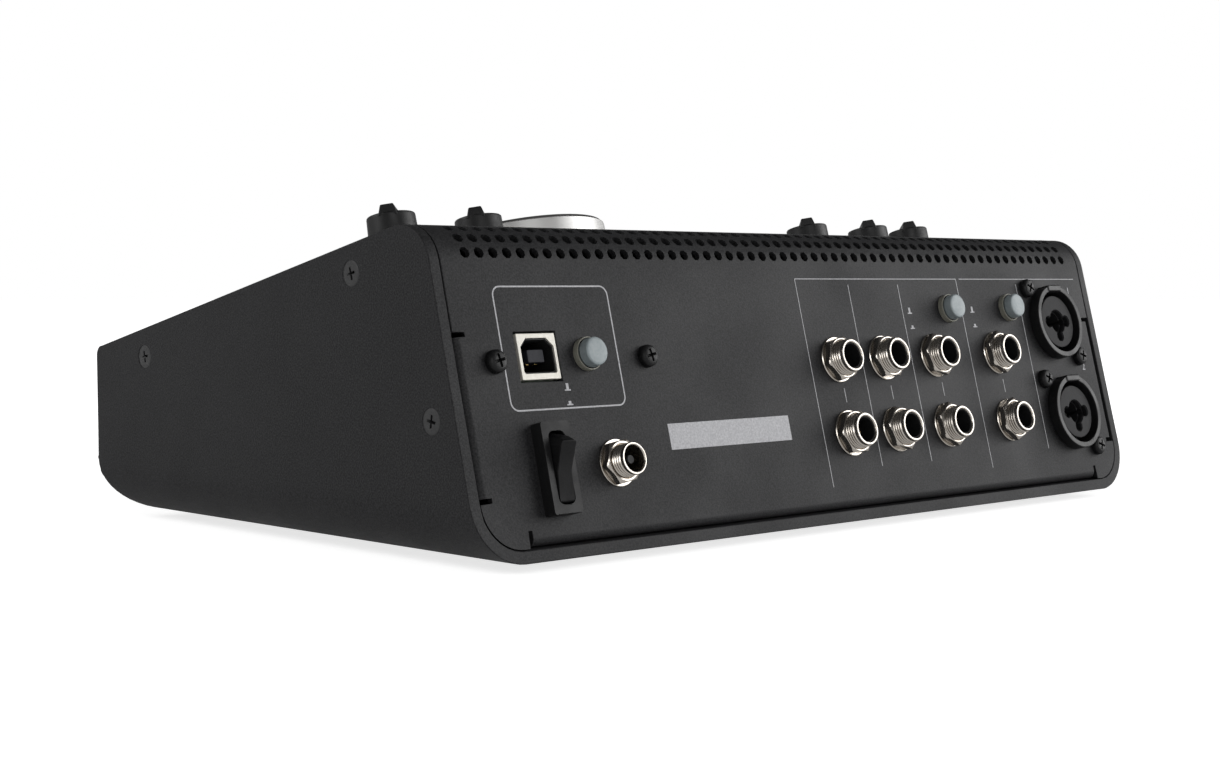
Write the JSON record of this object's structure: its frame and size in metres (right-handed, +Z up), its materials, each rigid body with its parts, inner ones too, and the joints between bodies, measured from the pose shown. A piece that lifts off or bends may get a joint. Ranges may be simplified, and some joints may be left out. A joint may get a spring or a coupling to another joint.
{
  "type": "studio monitor controller",
  "caption": "Desktop studio monitor controller: a wedge-shaped steel case with knobs and keys on its sloping top and audio, data and power sockets on its leaning rear panel.",
  "frame": {"origin": "middle of the case's width and of the overall depth, on the surface the feet stand on", "axes": "+X to the right seen from the front, +Y towards the rear panel, +Z up"},
  "size_m": [0.263, 0.1728, 0.0859],
  "materials": {
    "case_paint": "fine textured powder coat",
    "black_plastic": "satin",
    "rubber": "matt",
    "black_screw": "black oxide",
    "nickel": "nickel plated",
    "steel": "zinc plated",
    "tin_plate": "tin plated",
    "grey_plastic": "satin",
    "pale_plastic": "satin",
    "collar_plastic": "satin",
    "knob_aluminium": "turned and anodised",
    "circuit_board": "solder mask",
    "lamp": "clear tinted"
  },
  "bodies": {
    "case": {"base_pan": "case_paint", "board_headers": "black_plastic", "board_screws": "steel", "board_standoffs": "steel", "combo_inserts": "black_plastic", "combo_socket_1": "black_plastic", "combo_socket_2": "black_plastic", "control_board": "circuit_board", "countersunk_screws": "black_screw", "foot_screws": "steel", "input_board": "circuit_board", "jack_bodies": "black_plastic", "jack_nuts": "nickel", "jack_washers": "nickel", "key_switches": "black_plastic", "lamps": "lamp", "level_pots": "black_plastic", "level_switch_board": "circuit_board", "line_jack_bushes": "nickel", "lower_jack_board": "circuit_board", "main_board": "circuit_board", "panel_screws": "black_screw", "phones_jack_bushes": "nickel", "power_jack_body": "black_plastic", "power_jack_bush": "nickel", "power_jack_nut": "nickel", "power_switch_frame": "black_plastic", "push_collars": "collar_plastic", "push_switches": "black_plastic", "ribbon_cables": "grey_plastic", "rubber_feet": "rubber", "talkback_capsule": "black_plastic", "top_cover": "case_paint", "upper_jack_board": "circuit_board", "usb_board": "circuit_board", "usb_bracket": "steel", "usb_insert": "grey_plastic", "usb_shell": "tin_plate", "volume_nut": "nickel", "volume_pot": "black_plastic"},
    "volume": {"volume_knob": "knob_aluminium", "volume_shaft": "steel"},
    "input_1_gain": {"input_1_gain_knob": "black_plastic"},
    "input_2_gain": {"input_2_gain_knob": "black_plastic"},
    "track_trim": {"track_trim_knob": "black_plastic"},
    "studio_level": {"studio_level_knob": "black_plastic"},
    "talkback_level": {"talkback_level_knob": "black_plastic"},
    "phones_1_level": {"phones_1_level_knob": "black_plastic"},
    "phones_2_level": {"phones_2_level_knob": "black_plastic"},
    "source_1_key": {"source_1_button": "pale_plastic"},
    "source_2_key": {"source_2_button": "pale_plastic"},
    "source_3_key": {"source_3_button": "pale_plastic"},
    "mute_key": {"mute_button": "pale_plastic"},
    "monitor_key": {"monitor_button": "pale_plastic"},
    "talkback_key": {"talkback_button": "pale_plastic"},
    "record_source_push": {"record_source_button": "pale_plastic"},
    "track_level_push": {"track_level_button": "pale_plastic"},
    "line_level_push": {"line_level_button": "pale_plastic"},
    "rocker": {"power_rocker": "black_plastic"}
  },
  "joints": [
    {"name": "volume_turn", "type": "hinge", "parent": "case", "child": "volume", "pos_m": [0.017, -0.0274, 0.06029], "axis": [0, -0.2233, 0.9748], "range_deg": [-270, 0]},
    {"name": "input_1_gain_turn", "type": "hinge", "parent": "case", "child": "input_1_gain", "pos_m": [-0.1052, 0.02065, 0.0713], "axis": [0, -0.2233, 0.9748], "range_deg": [-270, 0]},
    {"name": "input_2_gain_turn", "type": "hinge", "parent": "case", "child": "input_2_gain", "pos_m": [-0.0845, 0.02065, 0.0713], "axis": [0, -0.2233, 0.9748], "range_deg": [-270, 0]},
    {"name": "track_trim_turn", "type": "hinge", "parent": "case", "child": "track_trim", "pos_m": [-0.055, 0.02065, 0.0713], "axis": [0, -0.2233, 0.9748], "range_deg": [-270, 0]},
    {"name": "studio_level_turn", "type": "hinge", "parent": "case", "child": "studio_level", "pos_m": [0.0763, 0.02065, 0.0713], "axis": [0, -0.2233, 0.9748], "range_deg": [-270, 0]},
    {"name": "talkback_level_turn", "type": "hinge", "parent": "case", "child": "talkback_level", "pos_m": [0.1048, 0.02065, 0.0713], "axis": [0, -0.2233, 0.9748], "range_deg": [-270, 0]},
    {"name": "phones_1_level_turn", "type": "hinge", "parent": "case", "child": "phones_1_level", "pos_m": [-0.0763, -0.05314, 0.0544], "axis": [0, -0.2233, 0.9748], "range_deg": [-270, 0]},
    {"name": "phones_2_level_turn", "type": "hinge", "parent": "case", "child": "phones_2_level", "pos_m": [-0.1048, -0.05314, 0.0544], "axis": [0, -0.2233, 0.9748], "range_deg": [-270, 0]},
    {"name": "source_1_key_press", "type": "slide", "parent": "case", "child": "source_1_key", "axis": [0, 0.2233, -0.9748], "range_m": [0, 0.001], "stiffness_N_per_m": 600, "springref_m": -0.0004},
    {"name": "source_2_key_press", "type": "slide", "parent": "case", "child": "source_2_key", "axis": [0, 0.2233, -0.9748], "range_m": [0, 0.001], "stiffness_N_per_m": 600, "springref_m": -0.0004},
    {"name": "source_3_key_press", "type": "slide", "parent": "case", "child": "source_3_key", "axis": [0, 0.2233, -0.9748], "range_m": [0, 0.001], "stiffness_N_per_m": 600, "springref_m": -0.0004},
    {"name": "mute_key_press", "type": "slide", "parent": "case", "child": "mute_key", "axis": [0, 0.2233, -0.9748], "range_m": [0, 0.001], "stiffness_N_per_m": 600, "springref_m": -0.0004},
    {"name": "monitor_key_press", "type": "slide", "parent": "case", "child": "monitor_key", "axis": [0, 0.2233, -0.9748], "range_m": [0, 0.001], "stiffness_N_per_m": 600, "springref_m": -0.0004},
    {"name": "talkback_key_press", "type": "slide", "parent": "case", "child": "talkback_key", "axis": [0, 0.2233, -0.9748], "range_m": [0, 0.001], "stiffness_N_per_m": 600, "springref_m": -0.0004},
    {"name": "record_source_push_press", "type": "slide", "parent": "case", "child": "record_source_push", "axis": [0, -0.9686, -0.2487], "range_m": [0, 0.002], "stiffness_N_per_m": 500, "springref_m": -0.0008},
    {"name": "track_level_push_press", "type": "slide", "parent": "case", "child": "track_level_push", "axis": [0, -0.9686, -0.2487], "range_m": [0, 0.002], "stiffness_N_per_m": 500, "springref_m": -0.0008},
    {"name": "line_level_push_press", "type": "slide", "parent": "case", "child": "line_level_push", "axis": [0, -0.9686, -0.2487], "range_m": [0, 0.002], "stiffness_N_per_m": 500, "springref_m": -0.0008},
    {"name": "rocker_tilt", "type": "hinge", "parent": "case", "child": "rocker", "pos_m": [0.1055, 0.08049, 0.02302], "axis": [1, 0, 0], "range_deg": [0, 32]}
  ]
}
